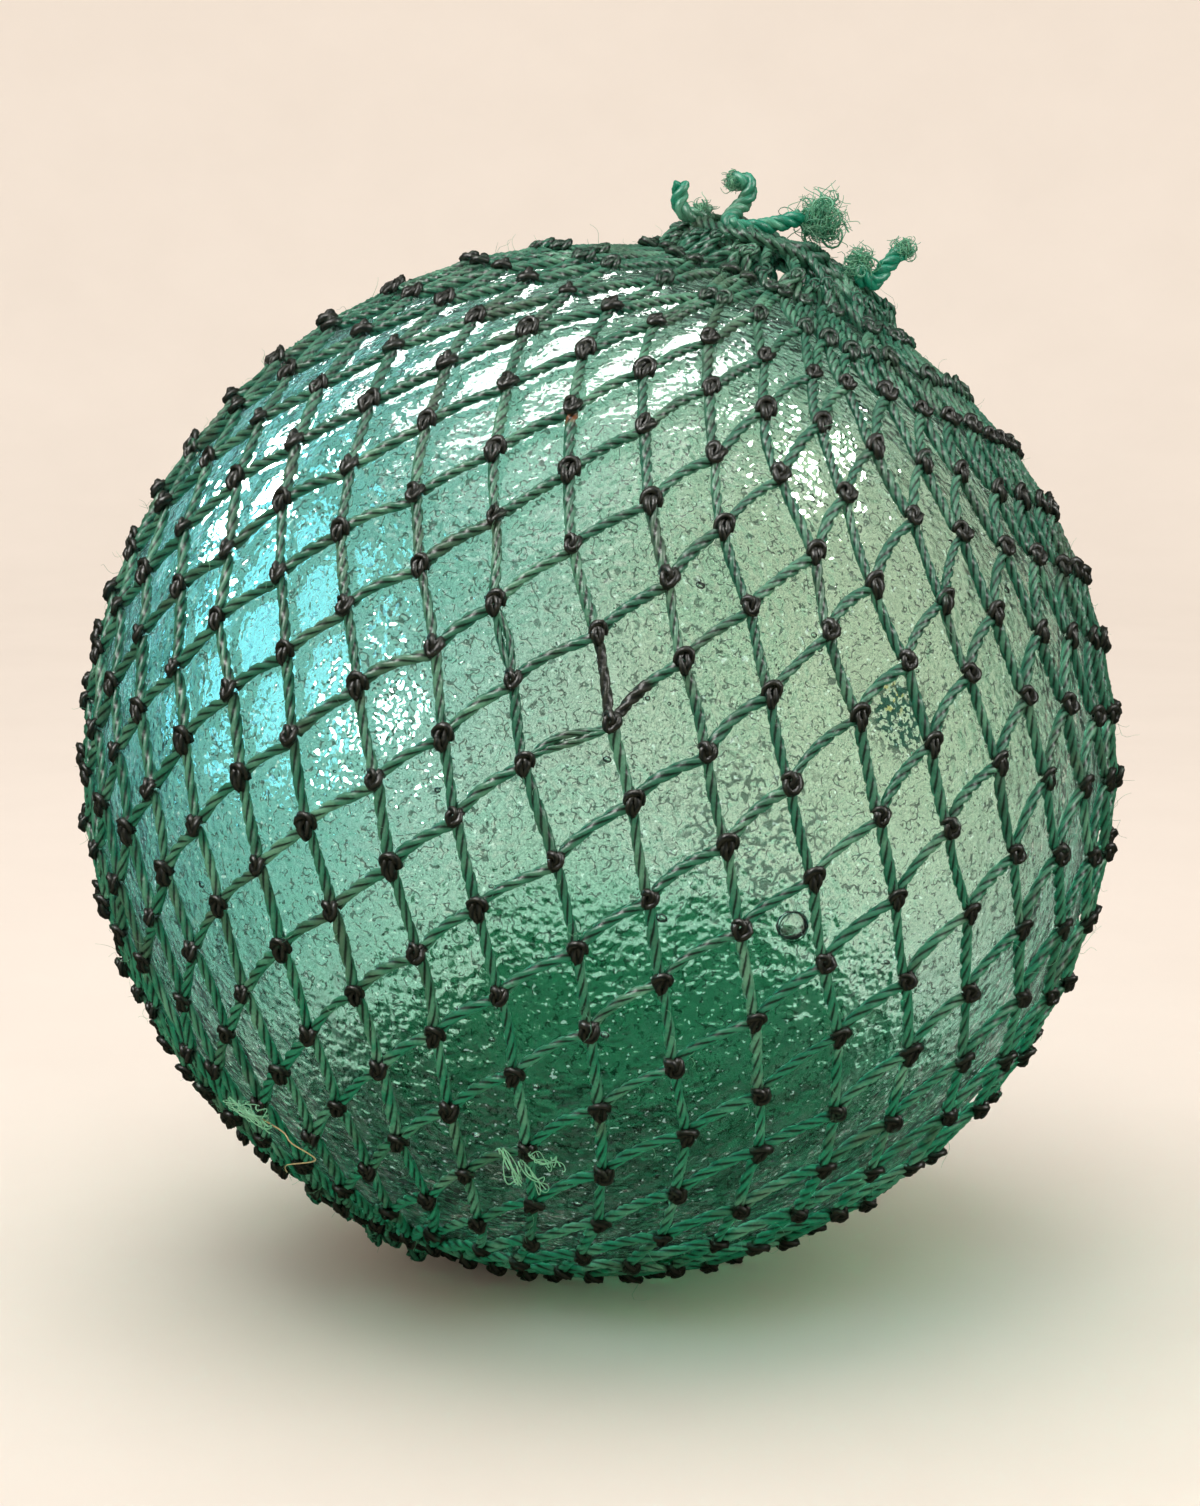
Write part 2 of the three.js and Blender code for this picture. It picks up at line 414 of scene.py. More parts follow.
KNOT_SIZE = 0.82
KNOT_VARIANTS = 3
GATHERED_SIZE = 0.85
KNOT_DEPTH = 1.1


def knot_template(tubes):
    """One knot's mesh in local millimetres, a little different each time."""
    shape = section(*KNOT_SECTION)
    parts = MeshParts()
    for path in tubes:
        path = np.array(path) + rng.normal(0, 0.18, (len(path), 3))
        smooth = catmull(path, 2 * len(path) - 3)[None] * MM
        out = np.zeros_like(smooth)
        out[..., 2] = 1
        radius = KNOT_TWINE * rng.uniform(0.92, 1.1)
        add_tubes(parts, smooth, out, radius, shape, LAY_LENGTH, rng.uniform(0, TAU))
    return parts


def make_knots(knots, name, first, last, material):
    """Knots of some rows as one piece."""
    templates = [
        [knot_template(kind) for _ in range(KNOT_VARIANTS)] for kind in (KNOT_FACE, KNOT_BACK)
    ]
    parts = MeshParts()
    for row in range(first, last):
        for column in range(COLUMNS):
            template = templates[knots.parity[row]][rng.integers(KNOT_VARIANTS)]
            add_knot(parts, template, knots, row, column)
    return parts.make(name, material)


def add_knot(parts, template, knots, row, column):
    """One knot from its template, turned and sized a little at random."""
    right, up, out = knots.axes(row, column)
    turn = rng.normal(0, 0.1)
    size = (GATHERED_SIZE if row < knots.crown else 1.0) * KNOT_SIZE * rng.uniform(0.92, 1.12)
    axes = np.array([
        right * math.cos(turn) + up * math.sin(turn), up * math.cos(turn) - right * math.sin(turn), out
    ])
    local = np.concatenate(template.vertices) * size * (1, 1, KNOT_DEPTH)
    groove = template.value("groove")
    parts.add(
        local @ axes + knots.place[row, column], template.faces,
        groove=groove, soak=knots.soak(row) * rng.uniform(0.85, 1.0), tone=rng.uniform(0, 1),
    )


# ---- bars of twine between the knots
FACE, BACK = 0, 1
STEEP_START = {FACE: (0.0, -0.4, -0.1), BACK: (0.1, -0.6, -0.1)}
SHALLOW_START = {FACE: (-1.2, -1.0, -0.7), BACK: (-1.2, -1.8, -0.5)}
STEEP_END = (-0.9, 1.6, -0.6)
SHALLOW_END = (1.3, 1.4, -0.6)


def bar_paths(knots, row, column, to_row, to_column, steep):
    """Curves from each knot to the one below it, resting on the glass between them."""
    kind = knots.parity[row[0]]
    start_at = np.array(STEEP_START[kind] if steep else SHALLOW_START[kind]) * KNOT_SIZE * MM
    end_at = np.array(STEEP_END if steep else SHALLOW_END) * KNOT_SIZE * MM
    start = knots.point(row, column, start_at)
    end = knots.point(to_row, to_column, end_at)
    span = np.linalg.norm(end - start, axis=-1, keepdims=True)
    chord = unit(end - start)
    leave = knots.vector(row, column, (0.0, -1.0, 0.0) if steep else (-0.9, -0.15, 0.0))
    arrive = knots.vector(to_row, to_column, (0.1, -1.0, 0.0) if steep else (-0.35, -0.9, 0.0))
    leave = unit(chord + leave * (0.5 if steep else 0.9)) * span
    arrive = unit(chord + arrive * (0.4 if steep else 0.9)) * span
    wobble = rng.normal(0, 0.07, (len(row), 1)) * np.cross(knots.out[row, column], chord) * span
    t = np.linspace(0, 1, BAR_RINGS)[None, :, None]
    path = (
        (2 * t**3 - 3 * t**2 + 1) * start[:, None]
        + (t**3 - 2 * t**2 + t) * (leave + wobble)[:, None]
        + (3 * t**2 - 2 * t**3) * end[:, None]
        + (t**3 - t**2) * (arrive - wobble)[:, None]
    )
    if not knots.crown <= row[0] < len(knots.place) - len(FOOT_ROWS) - 1:
        return path
    from_centre = path - CENTRE
    reach = np.linalg.norm(from_centre, axis=-1, keepdims=True)
    resting = GLASS_RADIUS + TWINE_RADIUS + RESTING_LIFT
    blend = np.sqrt(np.clip(np.sin(np.pi * t), 0, 1))
    return CENTRE + from_centre / reach * (reach * (1 - blend) + resting * blend)


def split_bar(parts, path, radius, swell, lay, shape):
    """Moves one half of a split bar aside in place, and adds the other half."""
    t = np.linspace(0, 1, BAR_RINGS)[:, None]
    apart = SPLIT_GAP * np.sin(np.pi * t) ** 1.5
    apart = apart * unit(np.cross(np.gradient(path, axis=0), path - CENTRE))
    swell *= SPLIT_SHARE
    other = (path - apart)[None]
    path += apart
    radius = SPLIT_SHARE * radius
    add_tubes(parts, other, other - CENTRE, radius, shape, lay, soak=0.1, tone=0.6, rust=0)


def bar_soak(row, steep, crown):
    """Tar along the bars of a row: near their knots, and on the few that are stained."""
    t = np.linspace(0, 1, BAR_RINGS)
    near_knot = 0.75 * (np.exp(-t / 0.12) + np.exp(-(1 - t) / 0.10))
    near_knot = near_knot * (0.5 if row < crown + 3 else 1)
    stained = np.where(rng.uniform(0, 1, COLUMNS) < 0.04, rng.uniform(0.35, 0.55, COLUMNS), 0)
    stained = stained[:, None] * np.ones(BAR_RINGS)
    for stained_row, column, stained_steep in STAINED_BARS:
        if (stained_row, stained_steep) == (row - crown, steep):
            stained[column] = 0.85 if steep else 0.85 * smoothstep(0.25, 0.5, t)
    return np.maximum(near_knot[None], stained)


def bar_rust(row, steep, crown):
    """A rust mark near the upper end of one bar."""
    rust = np.zeros((COLUMNS, BAR_RINGS))
    rusty_row, column, rusty_steep = RUSTY_BAR
    if (row - crown, steep) == (rusty_row, rusty_steep):
        t = np.linspace(0, 1, BAR_RINGS)
        rust[column] = np.exp(-((t - 0.14) / 0.08) ** 2)
    return rust


def make_bars(knots, name, first, last, material, bar_lines):
    """Bars that start at some rows, as one piece; their centre lines are added to bar_lines."""
    shape = section(*TWINE_SECTION)
    parts = MeshParts()
    column = np.arange(COLUMNS)
    t = np.linspace(0, 1, BAR_RINGS)
    for row in range(first, last):
        here = np.full(COLUMNS, row)
        for steep in (True, False):
            target = (column + knots.parity[row] - (0 if steep else 1)) % COLUMNS
            paths = bar_paths(knots, here, column, here + 1, target, steep)
            bar_lines.append(paths)
            radius = TWINE_RADIUS * rng.uniform(0.86, 1.08, COLUMNS)
            lay = LAY_LENGTH * rng.uniform(0.8, 1.2, COLUMNS) * np.interp(row, [3, 10], [0.65, 1])
            waves = rng.uniform(0.7, 1.6, (COLUMNS, 1))
            wave_start = rng.uniform(0, 1, (COLUMNS, 1))
            swell = 1 + 0.07 * np.sin(TAU * (waves * t + wave_start))
            for split_row, at, split_steep in SPLIT_BARS:
                if (split_row, split_steep) == (row - knots.crown, steep):
                    split_bar(parts, paths[at], radius[at], swell[at], lay[at], shape)
            phase = rng.uniform(0, TAU, COLUMNS)
            soak = bar_soak(row, steep, knots.crown)[..., None]
            rust = bar_rust(row, steep, knots.crown)[..., None]
            tone = rng.uniform(0.6 if row < knots.crown + 3 else 0, 1, (COLUMNS, 1, 1))
            add_tubes(
                parts, paths, paths - CENTRE, radius, shape, lay, phase, swell,
                soak=soak, rust=rust, tone=tone,
            )
    return parts.make(name, material)


# ---- crown and foot gathers
def leg_paths(knots, row, inward, height):
    """Twine from each knot of an end row into the hole that the draw cord closes."""
    start = knots.place[row]
    side = 1 if row >= 0 else -1
    hole = to_world(np.array([CROWN_SHIFT if side > 0 else 0, 0, side * height]))
    towards = unit(start - hole)
    end = hole + towards * HOLE_RADIUS + rng.normal(0, 1.5 * MM, start.shape)
    lift = inward * rng.uniform(0.3, 1.4, (COLUMNS, 1))
    middle = (start + end) / 2 + (hole - CENTRE) / np.linalg.norm(hole - CENTRE) * lift
    middle = middle + rng.normal(0, 2.5 * MM, start.shape) * (1 if side > 0 else 0.2)
    t = np.linspace(0, 1, LEG_RINGS)[None, :, None]
    return (1 - t) ** 2 * start[:, None] + 2 * t * (1 - t) * middle[:, None] + t**2 * end[:, None]


def ring_path(radius, height, turns, rise, count):
    """A coil round the net's axis, for the cord that draws the meshes together."""
    t = np.linspace(0, 1, count)
    wander = radius * (1 + 0.13 * np.sin(TAU * t * 3 + 1.3) + 0.07 * np.sin(TAU * t * 8))
    angle = TAU * turns * t
    shift = CROWN_SHIFT if height > 0 else 0
    wave = 1.2 * MM * np.sin(TAU * t * 5 + 0.4)
    spot = np.stack(
        [shift + wander * np.cos(angle), wander * np.sin(angle), height + rise * t + wave], axis=-1
    )
    return to_world(spot)[None]


def make_gather(knots, name, row, height, coils, material):
    """Legs and draw cord at one end of the net."""
    parts = MeshParts()
    shape = section(*TWINE_SECTION)
    paths = leg_paths(knots, row, 4 * MM, height)
    outward = np.broadcast_to(unit(paths[:1, :1] - CENTRE), paths.shape)
    phase = rng.uniform(0, TAU, COLUMNS)
    soak = rng.uniform(0, 0.5, (COLUMNS, 1, 1))
    tone = rng.uniform(0.3, 1, (COLUMNS, 1, 1))
    lay = 0.6 * LAY_LENGTH
    add_tubes(parts, paths, outward, TWINE_RADIUS, shape, lay, phase, soak=soak, tone=tone)
    for radius, level, turns, rise in coils:
        path = ring_path(radius, level, turns, rise, int(70 * turns))
        thick, lay = 1.2 * TWINE_RADIUS, 0.7 * LAY_LENGTH
        add_tubes(parts, path, path - CENTRE, thick, shape, lay, soak=0.5, tone=0.4)
    return parts.make(name, material)


# ---- ties, frays and loose fibres
def fibre_paths(start, heading, length, curl, rings):
    """Fibres that leave their starts along a heading and curl at random."""
    count = len(start)
    t = np.linspace(0, 1, rings)[None, :, None]
    across = unit(np.cross(heading, rng.normal(0, 1, (count, 3))))
    other = np.cross(heading, across)
    phase = rng.uniform(0, TAU, (count, 1, 1))
    waves = rng.uniform(0.4, 1.3, (count, 1, 1))
    sway = np.sin(phase + TAU * waves * t) - np.sin(phase)
    bend = np.cos(phase + TAU * waves * t) - np.cos(phase)
    side = curl * length[:, None, None] * (sway * across[:, None] + bend * other[:, None])
    return start[:, None] + heading[:, None] * length[:, None, None] * t + side


def add_fibres(parts, paths, radius, bleach):
    """Thin tapered fibres; bleach is 0 for green, 1 for pale and over 1 for straw."""
    taper = np.linspace(1, 0.45, paths.shape[1])[None]
    out = np.broadcast_to(np.array((0.3, -0.7, 0.6)), paths.shape)
    width = np.repeat(taper, len(paths), 0)
    pale = np.reshape(bleach, (-1, 1, 1))
    add_tubes(parts, paths, out, radius, round_section(3), width=width, soak=0, tone=0.5, bleach=pale)


def add_tuft(parts, place, reach, away, count):
    """A frayed end: fibres that burst from a core, most of them along the rope's own heading."""
    place = to_world(np.array(place) * MM)
    reach = reach * MM
    heading = unit(0.9 * away + rng.normal(0, 0.75, (count, 3)))
    start = place + rng.normal(0, 0.22 * reach, (count, 3)) - away * 0.3 * reach
    length = reach * rng.uniform(0.45, 1.0, count)
    paths = fibre_paths(start, heading, length, 0.3, 10)
    add_fibres(parts, paths, FRAY_RADIUS, rng.uniform(0.0, 0.8, count))
    yarns = max(5, count // 7)
    paths = fibre_paths(start[:yarns], heading[:yarns], 0.9 * length[:yarns], 0.34, 14)
    add_fibres(parts, paths, YARN_RADIUS, rng.uniform(0.2, 0.8, yarns))


def add_tangle(parts, place, axes, reach, count):
    """Loose loops of one fibre that hang about a knot."""
    right, up, out = axes
    t = np.linspace(0, 1, 30)[None, :]
    turns = rng.uniform(0.35, 0.8, (count, 1))
    phase = rng.uniform(0, TAU, (count, 1))
    wide = reach[0] * rng.uniform(0.45, 1, (count, 1))
    tall = reach[1] * rng.uniform(0.45, 1, (count, 1))
    x = wide * np.sin(TAU * turns * t + phase) + reach[0] * rng.normal(0, 0.15, (count, 1))
    y = tall * np.cos(TAU * turns * t + 1.3 * phase) + reach[1] * rng.normal(0, 0.15, (count, 1))
    z = 1.2 * MM * (1 + np.sin(TAU * rng.uniform(0.5, 2, (count, 1)) * t + phase))
    paths = place + x[..., None] * right + y[..., None] * up + z[..., None] * out
    add_fibres(parts, paths, LOOP_RADIUS, rng.uniform(0.8, 1.1, count))


def make_loose_fibres(knots, bar_lines, material):
    """Whiskers along the twine, two tangles low at the front and one long straw."""
    parts = MeshParts()
    lines = np.concatenate(bar_lines)
    line = rng.integers(len(lines), size=WHISKERS)
    at = rng.integers(1, BAR_RINGS - 1, size=WHISKERS)
    start = lines[line, at]
    away = unit(start - CENTRE)
    along = unit(lines[line, at + 1] - start) * rng.choice([-1, 1], (WHISKERS, 1))
    heading = unit(0.7 * away + 0.8 * along + rng.normal(0, 0.5, start.shape))
    length = rng.gamma(3.0, 1.1 * MM, WHISKERS) + 1.5 * MM
    paths = fibre_paths(start + away * 0.8 * MM, heading, length, 0.16, 7)
    paths = keep_off_glass(paths)
    add_fibres(parts, paths, WHISKER_RADIUS, rng.uniform(0, 0.8, WHISKERS))
    for row_down, column, offset, reach, count in TANGLES:
        row = row_down + knots.crown
        spot = knots.point(row, column, np.array(offset) * MM)
        add_tangle(parts, spot, knots.axes(row, column), reach, count)
    straw = [
        knots.point(row_down + knots.crown, column, np.array(offset) * MM)
        for row_down, column, offset in STRAW
    ]
    add_fibres(parts, keep_off_glass(catmull(straw, 40)[None]), STRAW_RADIUS, 1.6)
    return parts.make("net_fibres", material)


def keep_off_glass(paths):
    """Lifts the points of fibres that would dip into the ball."""
    from_centre = paths - CENTRE
    reach = np.linalg.norm(from_centre, axis=-1, keepdims=True)
    return CENTRE + from_centre / reach * np.maximum(reach, GLASS_RADIUS + OFF_GLASS)


def make_tie(name, material):
    """A laid rope of three strands with frayed ends."""
    parts = MeshParts()
    shape = section(*ROPE_SECTION)
    tie = TIES[name]
    route = np.array(tie["route"], float) * MM
    rings = 18 * len(route)
    centre_line = to_world(catmull(route, rings))[None]
    tangent = unit(np.gradient(centre_line, axis=1))
    normal = unit(np.cross(tangent, (0.2, 1.0, 0.1)))
    side = np.cross(tangent, normal)
    step = np.linalg.norm(np.diff(centre_line, axis=1), axis=-1)
    along = np.concatenate([[0], np.cumsum(step)])[None, :, None]
    for strand in range(STRANDS):
        angle = TAU * (along / (4.5 * ROPE_RADIUS) + strand / STRANDS)
        path = centre_line + 0.5 * ROPE_RADIUS * (np.cos(angle) * normal + np.sin(angle) * side)
        soak, tone = rng.uniform(0, 0.2), rng.uniform(0, 1)
        thick, lay = 0.52 * ROPE_RADIUS, 0.5 * LAY_LENGTH
        # the rope's valleys get less painted shade than the net's
        add_tubes(parts, path, normal, thick, shape, lay, groove_shade=0.6, soak=soak, tone=tone)
    ends = centre_line[0, [0, -1]]
    headings = tangent[0, [0, -1]] * np.array([[-1], [1]])
    for place, reach in tie["frays"]:
        nearest = np.argmin(np.linalg.norm(ends - to_world(np.array(place) * MM), axis=1))
        add_tuft(parts, place, reach, headings[nearest], int(FRAYS_PER_MM * reach))
    return parts.make(name + "_laid", material)


# ---- materials
def new_material(name):
    """A new material, its node tree and shader, and the place of each point on its piece."""
    material = bpy.data.materials.new(name)
    material.use_nodes = True
    material.cycles.emission_sampling = "NONE"  # faint glows aren't worth sampling as lamps
    tree = material.node_tree
    place = node(tree, "ShaderNodeTexCoord").outputs["Object"]
    return material, tree, tree.nodes["Principled BSDF"], place


def feed(made, inputs):
    """Links a node's inputs to sockets, or sets them to plain values."""
    for key, value in inputs.items():
        if isinstance(value, bpy.types.NodeSocket):
            made.id_data.links.new(value, made.inputs[key])
        else:
            made.inputs[key].default_value = value


def node(tree, kind, inputs=None, **settings):
    """A new node with its settings and inputs."""
    made = tree.nodes.new(kind)
    for key, value in settings.items():
        setattr(made, key, value)
    feed(made, inputs or {})
    return made


def mix(tree, factor, a, b):
    """Colour mix; factor, a and b are sockets or plain values."""
    a, b = (v if isinstance(v, bpy.types.NodeSocket) else (*v, 1) for v in (a, b))
    return node(tree, "ShaderNodeMix", {0: factor, 6: a, 7: b}, data_type="RGBA").outputs[2]


def maths(tree, operation, a, b=0.0):
    return node(tree, "ShaderNodeMath", {0: a, 1: b}, operation=operation).outputs[0]


def times(tree, a, b):
    return maths(tree, "MULTIPLY", a, b)


def largest(tree, a, b):
    return maths(tree, "MAXIMUM", a, b)


def ramp(tree, factor, low, high):
    """0 up to low, 1 from high on, smooth between them."""
    inputs = {0: factor, 1: low, 2: high}
    return node(tree, "ShaderNodeMapRange", inputs, interpolation_type="SMOOTHSTEP").outputs[0]


def vector_maths(tree, operation, a, b, output=0):
    return node(tree, "ShaderNodeVectorMath", {0: a, 1: b}, operation=operation).outputs[output]


def fade(tree, factor, low, high):
    """1 up to low, 0 from high on."""
    return maths(tree, "SUBTRACT", 1.0, ramp(tree, factor, low, high))


def noise_at(tree, coordinate, scale, detail, roughness=0.55):
    inputs = {"Vector": coordinate, "Scale": scale, "Detail": detail, "Roughness": roughness}
    return node(tree, "ShaderNodeTexNoise", inputs).outputs["Fac"]


def attribute(tree, name):
    return node(tree, "ShaderNodeAttribute", attribute_name=name).outputs["Fac"]


def srgb(r, g, b):
    """Linear colour of an 8-bit screen colour."""
    return tuple(c / 255 / 12.92 if c <= 10 else ((c / 255 + 0.055) / 1.055) ** 2.4 for c in (r, g, b))


GREYED = srgb(92, 104, 82)
GRAIN = srgb(24, 84, 64)
TAR = srgb(42, 46, 35)
RUST = srgb(150, 88, 38)
# painted shade in the valleys between the strands
GROOVE_SHADE = srgb(8, 24, 18)
BLEACHED = srgb(150, 222, 182)
STRAW_COLOUR = srgb(206, 186, 138)
# the net's low colour is painted brighter to stand in for the light on its lower front
NET_LOW, NET_HIGH, NET_WORN = srgb(34, 144, 106), srgb(50, 124, 98), srgb(112, 176, 144)
ROPE_GREEN, ROPE_WORN = srgb(18, 150, 120), srgb(120, 208, 174)


def twine_material(name, low, high, worn):
    """Waxy twine: green, greyer in patches, with painted shade in the valleys between its strands; low
    down it is painted brighter teal and higher up greyer, standing in for the light on the lower front.

    The pieces' vertex values steer it: groove (where the painted shade goes), tone, soak (tar), rust and
    bleach.
    """
    material, tree, shader, place = new_material(name)
    height = node(tree, "ShaderNodeSeparateXYZ", {0: place}).outputs[2]
    blotch = noise_at(tree, place, 90, 3)
    fine = noise_at(tree, place, 800, 3)
    # painted light: low down the twine is brighter teal and higher up greyer, standing in for the light on
    # the lower front
    green = mix(tree, ramp(tree, height, 0.06, 0.2), low, high)
    pale = mix(tree, attribute(tree, "tone"), green, worn)
    colour = mix(tree, ramp(tree, blotch, 0.4, 0.68), green, pale)
    grey = ramp(tree, noise_at(tree, place, 40, 2), 0.5, 0.72)
    colour = mix(tree, times(tree, grey, 0.55), colour, GREYED)
    grain = ramp(tree, fine, 0.5, 0.72)
    colour = mix(tree, times(tree, grain, 0.45), colour, GRAIN)
    soak = times(tree, attribute(tree, "soak"), ramp(tree, blotch, 0.12, 0.42))
    colour = mix(tree, ramp(tree, soak, 0.3, 0.9), colour, TAR)
    colour = mix(tree, attribute(tree, "rust"), colour, RUST)
    # painted shade: the valleys between the strands are darkened, where shade falls
    painted_groove_shade = ramp(tree, attribute(tree, "groove"), 0.35, 0.95)
    colour = mix(tree, times(tree, painted_groove_shade, 0.92), colour, GROOVE_SHADE)
    bleach = attribute(tree, "bleach")
    colour = mix(tree, maths(tree, "MINIMUM", bleach, 1.0), colour, BLEACHED)
    colour = mix(tree, ramp(tree, bleach, 1.1, 1.5), colour, STRAW_COLOUR)
    rough = node(tree, "ShaderNodeMapRange", {0: fine, 3: 0.3, 4: 0.55}).outputs[0]
    bump = node(tree, "ShaderNodeBump", {"Strength": 0.55, "Distance": 0.4 * MM, "Height": fine})
    feed(shader, {
        "Base Color": colour, "Specular IOR Level": 0.3, "Roughness": rough, "Normal": bump.outputs[0],
    })
    return material


GLASS_TINT = (0.79, 1.0, 0.94)
DEEPER_TINT = (0.62, 0.95, 0.86)
WARM_TINT = (0.84, 1.0, 0.83)
# painted reflection of bluish light
PAINTED_TURQUOISE = (0.30, 0.92, 1.0)
# deep green of the thick bottom, darkened further as painted shade for the shaded floor seen through it
EMERALD_AND_SHADE = (0.008, 0.2, 0.085)
FLECK = (0.008, 0.05, 0.04)
# colour of the painted glints
PAINTED_GLINT = (0.97, 1.0, 0.98)
# colour of a painted yellow glint
PAINTED_YELLOW_GLINT = (1.0, 0.72, 0.16)
GLINT_GLOW = (0.75, 1.0, 0.93, 1)
GLASS_IOR = 1.5
OUTER_ROUGHNESS = 0.02
INNER_ROUGHNESS = 0.16
OUTER_GLOSS_TINT = (1, 1, 1, 1)
INNER_GLOSS_TINT = (0.1, 0.14, 0.13, 1)
DARK_AXIS = unit(np.array([0.07, 0.27, -0.938]))  # middle of the thick bottom, whose dark is partly painted shade
PAINTED_TURQUOISE_AXIS = (-0.75, -0.45, 0.38)  # towards the side with the painted turquoise reflection
WARM_AXIS = (0.55, -0.75, 0.35)  # towards the yellower side
# Marks in the glass: where, and how far they reach
# painted dark streaks, standing in for dark streaks seen refracted through the glass
PAINTED_STREAKS = ((0.27, -0.962, 0.03), 30 * MM)
STONE = ((0.53, -0.82, 0.215), 15 * MM)  # dark specks round one point of the glass
# a yellow glint painted amid the dark specks
YELLOW_GLINT_SPOT = ((0.515, -0.82, 0.25), 6 * MM)
GLINT_SHIFT = (0.22 * MM, 0.0, 0.3 * MM)  # from a dark tick to the painted glint beside it


def glass_material(name, roughness, outside):
    """Pebbled sea-green glass with a turquoise reflection painted at its upper left, and deep emerald in
    its thick bottom, whose darkness is partly painted shade.
    """
    material, tree, shader, place = new_material(name)
    feed(shader, {
        "Specular Tint": OUTER_GLOSS_TINT if outside else INNER_GLOSS_TINT,
        "Transmission Weight": 1, "IOR": GLASS_IOR, "Roughness": roughness,
    })
    centred = vector_maths(tree, "SUBTRACT", place, tuple(CENTRE))
    # painted reflection: a turquoise tint at the upper left stands in for the reflection of bluish light
    painted_turquoise = times(tree, ramp(tree, directed(tree, centred, PAINTED_TURQUOISE_AXIS), 0.5, 1.0), 0.9)
    drift = ramp(tree, noise_at(tree, place, 13, 1), 0.42, 0.62)
    warm = ramp(tree, directed(tree, centred, WARM_AXIS), 0.75, 1.0)
    colour = mix(tree, warm, mix(tree, drift, GLASS_TINT, DEEPER_TINT), WARM_TINT)
    colour = mix(tree, painted_turquoise, colour, PAINTED_TURQUOISE)
    swirl = times(tree, noise_at(tree, place, 30, 4, 0.72), 0.36)
    bottom = maths(tree, "ADD", directed(tree, centred, tuple(DARK_AXIS)), swirl)
    # the thick bottom is deep emerald; its darkness is partly painted shade, for the shaded floor seen
    # through it
    thick = times(tree, ramp(tree, bottom, 0.895, 0.94), 0.975)
    height = noise_at(tree, place, 75, 1)
    if outside:
        pebbles = times(tree, noise_at(tree, place, 330, 1), 0.75)
        height = maths(tree, "ADD", height, pebbles)
        colour = outside_colour(tree, shader, place, centred, colour, thick)
    else:
        # thick bottom: real deep green, partly painted shade
        colour = mix(tree, thick, colour, EMERALD_AND_SHADE)
    bump = node(tree, "ShaderNodeBump", {"Strength": 0.58, "Distance": 1.6 * MM, "Height": height})
    feed(shader, {"Base Color": colour, "Normal": bump.outputs[0]})
    return material


def outside_colour(tree, shader, place, centred, colour, thick):
    """The glass colour with the marks of the outer skin, painted dark refraction streaks, a painted dark
    ring round the bubble, a painted yellow glint and painted glints beside the dark ticks; the brightest
    painted glints, pale pin dots, also glow.
    """
    dark, light, glowing_glints = surface_flecks(tree, place)
    # painted glints: the brightest pale pin dots glow, though they are no lamp
    feed(shader, {"Emission Color": GLINT_GLOW, "Emission Strength": times(tree, glowing_glints, 0.3)})
    crumbs = noise_at(tree, place, 430, 1)
    # painted dark streaks standing in for a dark refraction
    painted_streaks = times(tree, near(tree, centred, *PAINTED_STREAKS), ramp(tree, crumbs, 0.42, 0.5))
    dark = largest(tree, dark, hairline(tree, place, 210, 0.07, painted_streaks))
    grit = ramp(tree, noise_at(tree, place, 640, 1), 0.5, 0.54)
    speck = times(tree, near(tree, centred, *STONE), grit)
    # painted highlight: a yellow glint amid the dark specks
    core = times(tree, near(tree, centred, *YELLOW_GLINT_SPOT), ramp(tree, crumbs, 0.52, 0.56))
    colour = mix(tree, core, colour, PAINTED_YELLOW_GLINT)
    # painted shade: a dark ring round the air bubble stands in for its dark refracted edge
    from_rim = maths(tree, "SUBTRACT", distance_from(tree, centred, BUBBLE_DIRECTION), BUBBLE_RADIUS)
    rim = maths(tree, "LESS_THAN", maths(tree, "ABSOLUTE", from_rim), BUBBLE_RIM)
    speck = largest(tree, speck, rim)
    # painted glints: pale marks beside the dark ticks, and pale pin dots
    colour = mix(tree, times(tree, light, 0.8), colour, PAINTED_GLINT)
    # thick bottom: real deep green, partly painted shade
    colour = mix(tree, thick, colour, EMERALD_AND_SHADE)
    return mix(tree, largest(tree, speck, times(tree, dark, 0.9)), colour, FLECK)


def distance_from(tree, centred, axis):
    """Distance from the point of the glass that lies towards an axis."""
    spot = tuple(float(c) for c in unit(np.array(axis)) * GLASS_RADIUS)
    return vector_maths(tree, "DISTANCE", centred, spot, "Value")


def near(tree, centred, axis, radius):
    """1 close to a point of the glass, falling to 0 at a radius."""
    return fade(tree, distance_from(tree, centred, axis), 0.5 * radius, radius)


def directed(tree, vector, axis):
    """How far a place lies towards an axis, from -1 to 1."""
    axis = tuple(float(c) for c in unit(np.array(axis)))
    return maths(tree, "DIVIDE", vector_maths(tree, "DOT_PRODUCT", vector, axis, "Value"), GLASS_RADIUS)


def hairline(tree, place, scale, half_width, where):
    """Curled lines along a level of a noise, kept only in patches."""
    level = maths(tree, "ABSOLUTE", maths(tree, "SUBTRACT", noise_at(tree, place, scale, 1), 0.5))
    return times(tree, fade(tree, level, 0.4 * half_width, half_width), where)


def ring_marks(tree, place, scale, radius, width):
    """Small open rings, one in some of the cells of a Voronoi pattern."""
    cells = node(tree, "ShaderNodeTexVoronoi", {"Vector": place, "Scale": scale})
    off = maths(tree, "ABSOLUTE", maths(tree, "SUBTRACT", cells.outputs["Distance"], radius))
    ring = fade(tree, off, 0.4 * width, width)
    pick = node(tree, "ShaderNodeSeparateColor", {0: cells.outputs["Color"]}).outputs[0]
    return times(tree, ring, maths(tree, "GREATER_THAN", pick, 0.55))


